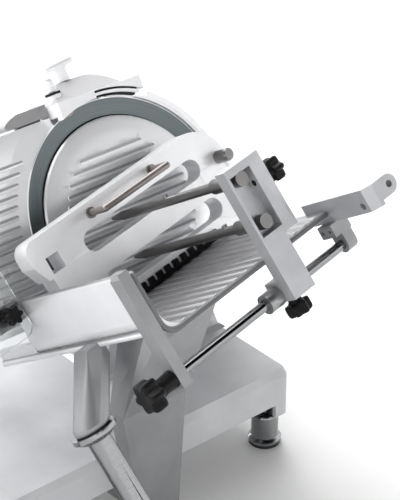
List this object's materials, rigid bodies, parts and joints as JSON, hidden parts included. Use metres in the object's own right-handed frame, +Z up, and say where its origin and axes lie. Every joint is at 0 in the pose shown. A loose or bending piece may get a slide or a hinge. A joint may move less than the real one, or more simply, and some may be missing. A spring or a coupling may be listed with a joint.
{
  "type": "gravity-feed food slicer",
  "caption": "Electric food slicer: leaning round blade, ribbed gauge plate and a sloping tray on a sliding carriage with pusher plate, tined clamp, sharpener and index knob.",
  "frame": {"origin": "on the table, under the middle of the machine's overall box", "axes": "+X along the carriage stroke away from the operator, +Y away from the product side, +Z up"},
  "size_m": [0.637, 0.5778, 0.4996],
  "materials": {
    "anodised": "satin anodised",
    "cast_aluminium": "fine satin casting",
    "blade_steel": "ground, turned lines",
    "polished_steel": "polished",
    "steel": "brushed",
    "black_plastic": "matt",
    "grey_plastic": "matt",
    "clear_plastic": "clear",
    "rubber": "matt",
    "green_plastic": "gloss",
    "red_plastic": "gloss",
    "bronze": "turned",
    "grey_stone": "gritty bonded abrasive"
  },
  "bodies": {
    "machine": {"base_casting": "cast_aluminium", "blade_column": "cast_aluminium", "gauge_guide": "cast_aluminium", "leveling_feet": "polished_steel", "foot_pads": "rubber", "cable_gland": "grey_plastic", "carriage_rail": "polished_steel", "blade_carrier": "anodised", "blade_bearings": "steel", "rear_housing": "cast_aluminium", "rear_cover": "cast_aluminium", "cover_screws": "steel", "motor": "grey_plastic", "drive_belt": "rubber", "switch_plate": "grey_plastic", "sharpener_post": "steel", "blade_cover": "anodised", "cover_tie_rod": "polished_steel"},
    "blade": {"blade": "blade_steel", "blade_shaft": "steel", "blade_pulley": "steel"},
    "rotor": {"motor_pulley": "steel"},
    "cover_knob": {"cover_knob": "black_plastic"},
    "gauge": {"gauge_plate": "anodised", "gauge_slide_rod": "polished_steel", "gauge_link": "steel"},
    "index": {"index_knob": "black_plastic", "index_shaft": "steel", "index_cam": "steel"},
    "start_button": {"start_button": "green_plastic"},
    "stop_button": {"stop_button": "red_plastic"},
    "sharpener": {"sharpener_hood": "anodised", "sharpener_seal": "rubber"},
    "wing_knob": {"wing_knob": "anodised"},
    "sharpener_button": {"sharpener_button": "steel"},
    "grinding_stone": {"grinding_stone": "grey_stone"},
    "truing_stone": {"truing_stone": "grey_stone"},
    "carriage": {"tray": "anodised", "carriage_arm": "cast_aluminium", "slide_bush": "bronze", "handle_bracket": "cast_aluminium", "push_grip": "polished_steel", "hand_guard": "clear_plastic", "guard_bracket": "steel", "rod_arm": "cast_aluminium", "guide_rod": "polished_steel", "rod_end_block": "cast_aluminium", "side_bar": "cast_aluminium"},
    "guard_knob": {"guard_knob": "black_plastic"},
    "rod_knob": {"rod_knob": "black_plastic"},
    "slider": {"slider_block": "cast_aluminium", "slider_bush": "steel", "upper_tine": "steel", "lower_tine": "steel"},
    "lock_knob": {"lock_knob": "black_plastic"},
    "clamp_knob": {"clamp_knob": "black_plastic"},
    "pusher": {"pusher_plate": "anodised", "pusher_comb": "black_plastic", "pusher_handle": "polished_steel", "pusher_pin": "steel"}
  },
  "joints": [
    {"name": "blade_spin", "type": "hinge", "parent": "machine", "child": "blade", "pos_m": [0.1565, 0.08357, 0.302], "axis": [0, -0.8358, 0.549], "continuous": true},
    {"name": "rotor_spin", "type": "hinge", "parent": "machine", "child": "rotor", "pos_m": [0.2515, 0.15892, 0.23456], "axis": [0, -0.8358, 0.549], "continuous": true},
    {"name": "cover_knob_turn", "type": "hinge", "parent": "machine", "child": "cover_knob", "pos_m": [0.1565, 0.26327, 0.18396], "axis": [0, -0.8358, 0.549], "range_deg": [-360, 0]},
    {"name": "gauge_slide", "type": "slide", "parent": "machine", "child": "gauge", "axis": [0, -0.8358, 0.549], "range_m": [-0.014, 0]},
    {"name": "index_turn", "type": "hinge", "parent": "machine", "child": "index", "pos_m": [-0.2845, 0.16357, 0.078], "axis": [1, 0, 0], "range_deg": [0, 180]},
    {"name": "start_press", "type": "slide", "parent": "machine", "child": "start_button", "axis": [1, 0, 0], "range_m": [0, 0.003], "stiffness_N_per_m": 600},
    {"name": "stop_press", "type": "slide", "parent": "machine", "child": "stop_button", "axis": [1, 0, 0], "range_m": [0, 0.003], "stiffness_N_per_m": 600},
    {"name": "sharpener_lift", "type": "slide", "parent": "machine", "child": "sharpener", "axis": [0, 0.549, 0.8358], "range_m": [0, 0.028]},
    {"name": "wing_knob_turn", "type": "hinge", "parent": "sharpener", "child": "wing_knob", "pos_m": [0.1485, 0.20961, 0.44653], "axis": [0, 0.549, 0.8358], "range_deg": [-90, 90]},
    {"name": "sharpener_press", "type": "slide", "parent": "sharpener", "child": "sharpener_button", "axis": [0, 0.549, 0.8358], "range_m": [-0.004, 0], "stiffness_N_per_m": 500},
    {"name": "grinding_stone_spin", "type": "hinge", "parent": "sharpener", "child": "grinding_stone", "pos_m": [0.1165, 0.16368, 0.43124], "axis": [0, -0.8358, 0.549], "continuous": true},
    {"name": "truing_stone_spin", "type": "hinge", "parent": "sharpener", "child": "truing_stone", "pos_m": [0.1465, 0.1749, 0.4119], "axis": [0, -0.8358, 0.549], "continuous": true},
    {"name": "carriage_stroke", "type": "slide", "parent": "machine", "child": "carriage", "axis": [1, 0, 0], "range_m": [-0.22, 0.06]},
    {"name": "guard_knob_turn", "type": "hinge", "parent": "carriage", "child": "guard_knob", "pos_m": [-0.0917, 0.0092, 0.27986], "axis": [0, -0.8358, 0.549], "range_deg": [0, 360]},
    {"name": "rod_knob_turn", "type": "hinge", "parent": "carriage", "child": "rod_knob", "pos_m": [-0.05918, -0.25865, 0.3147], "axis": [0.981, 0.1066, 0.1623], "range_deg": [-360, 0]},
    {"name": "slider_slide", "type": "slide", "parent": "carriage", "child": "slider", "axis": [0.981, 0.1066, 0.1623], "range_m": [-0.07, 0.062]},
    {"name": "lock_knob_turn", "type": "hinge", "parent": "slider", "child": "lock_knob", "pos_m": [0.13708, -0.24738, 0.33184], "axis": [-0.1942, 0.5386, 0.8199], "range_deg": [0, 180]},
    {"name": "clamp_knob_turn", "type": "hinge", "parent": "slider", "child": "clamp_knob", "pos_m": [0.15237, -0.17989, 0.4692], "axis": [0.981, 0.1066, 0.1623], "range_deg": [-180, 0]},
    {"name": "pusher_slide", "type": "slide", "parent": "carriage", "child": "pusher", "axis": [0, -0.8358, 0.549], "range_m": [0, 0.18]}
  ],
  "couplings": [
    {"joint": "rotor_spin", "follows": "blade_spin", "ratio": 2.25},
    {"joint": "index_turn", "follows": "gauge_slide", "rad_per_m": -224.39}
  ]
}
